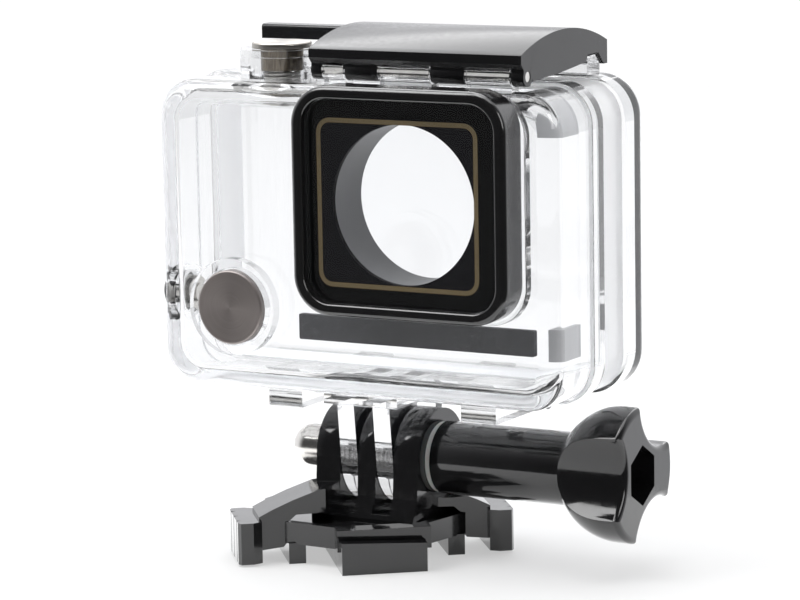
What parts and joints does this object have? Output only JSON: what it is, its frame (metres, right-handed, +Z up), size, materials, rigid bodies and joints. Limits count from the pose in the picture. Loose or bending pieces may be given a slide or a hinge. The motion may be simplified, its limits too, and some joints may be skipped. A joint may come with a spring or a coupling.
{
  "type": "clear waterproof camera housing",
  "caption": "Empty clear waterproof housing for a small box camera, with top latch, push buttons, square lens port, three-prong buckle and thumb screw.",
  "frame": {"origin": "on the flat underside of the buckle, straight below the tilt axis", "axes": "+Z up; the lens port faces -Y; the thumb screw's knob is on +X and its axis is parallel to X, 15 mm above the origin"},
  "size_m": [0.08, 0.0394, 0.081],
  "materials": {
    "clear_pc": "polished clear polycarbonate",
    "port_glass": "polished",
    "white_seal": "satin silicone",
    "gloss_black": "gloss",
    "soft_black": "satin",
    "mask_black": "satin",
    "port_grey": "brushed",
    "button_metal": "radially brushed",
    "steel": "polished",
    "spring_steel": "satin",
    "rubber_black": "matte",
    "rubber_grey": "matte",
    "nylon_white": "satin"
  },
  "bodies": {
    "base": {"buckle": "gloss_black", "cap_nut": "steel"},
    "screw_carriage": {"thrust_washer": "nylon_white"},
    "screw": {"thumb_knob": "gloss_black", "screw_shank": "steel"},
    "housing": {"front_shell": "clear_pc", "lens_bezel": "gloss_black", "lens_glass": "port_glass", "lens_mask_plate": "mask_black", "lens_port_tube": "port_grey", "lens_gasket": "rubber_black", "front_rubber_strip": "rubber_black", "side_pads": "rubber_grey", "door_hinge_pin": "steel", "latch_hinge_pin": "steel", "front_button_spring": "spring_steel", "shutter_button_spring": "spring_steel", "side_button_spring": "spring_steel"},
    "door": {"back_door": "clear_pc", "door_seal": "white_seal"},
    "latch": {"latch_cover": "soft_black", "latch_lock_spring": "spring_steel"},
    "lock": {"latch_lock_slider": "soft_black"},
    "front_button": {"front_button_cap": "button_metal", "front_button_stem": "steel", "front_button_clip": "spring_steel", "front_button_oring": "rubber_black"},
    "shutter_button": {"shutter_button_cap": "button_metal", "shutter_button_stem": "steel", "shutter_button_clip": "spring_steel", "shutter_button_oring": "rubber_black"},
    "side_button": {"side_button_cap": "button_metal", "side_button_stem": "steel", "side_button_clip": "spring_steel", "side_button_oring": "rubber_black"}
  },
  "joints": [
    {"name": "housing_tilt", "type": "hinge", "parent": "base", "child": "housing", "pos_m": [0, 0, 0.015], "axis": [1, 0, 0], "range_deg": [-50, 60]},
    {"name": "knob_turn", "type": "hinge", "parent": "screw_carriage", "child": "screw", "pos_m": [0, 0, 0.015], "axis": [1, 0, 0], "range_deg": [0, 1800]},
    {"name": "screw_advance", "type": "slide", "parent": "base", "child": "screw_carriage", "axis": [1, 0, 0], "range_m": [0, 0.004]},
    {"name": "door_swing", "type": "hinge", "parent": "housing", "child": "door", "pos_m": [0, 0.0145, 0.0225], "axis": [-1, 0, 0], "range_deg": [0, 45]},
    {"name": "latch_lift", "type": "hinge", "parent": "housing", "child": "latch", "pos_m": [0, -0.00984, 0.07493], "axis": [1, 0, 0], "range_deg": [0, 90]},
    {"name": "latch_lock_slide", "type": "slide", "parent": "latch", "child": "lock", "axis": [1, 0, 0], "range_m": [0, 0.003], "stiffness_N_per_m": 150, "springref_m": -0.0015, "deforming": ["latch_lock_spring"]},
    {"name": "front_press", "type": "slide", "parent": "housing", "child": "front_button", "axis": [0, 1, 0], "range_m": [0, 0.0012], "stiffness_N_per_m": 350, "springref_m": -0.001, "deforming": ["front_button_spring"]},
    {"name": "shutter_press", "type": "slide", "parent": "housing", "child": "shutter_button", "axis": [0, 0, -1], "range_m": [0, 0.0012], "stiffness_N_per_m": 350, "springref_m": -0.001, "deforming": ["shutter_button_spring"]},
    {"name": "side_press", "type": "slide", "parent": "housing", "child": "side_button", "axis": [1, 0, 0], "range_m": [0, 0.0012], "stiffness_N_per_m": 350, "springref_m": -0.001, "deforming": ["side_button_spring"]}
  ],
  "couplings": [
    {"joint": "knob_turn", "follows": "screw_advance", "rad_per_m": 7854},
    {"joint": "latch_lift", "follows": "door_swing", "ratio": 2}
  ]
}
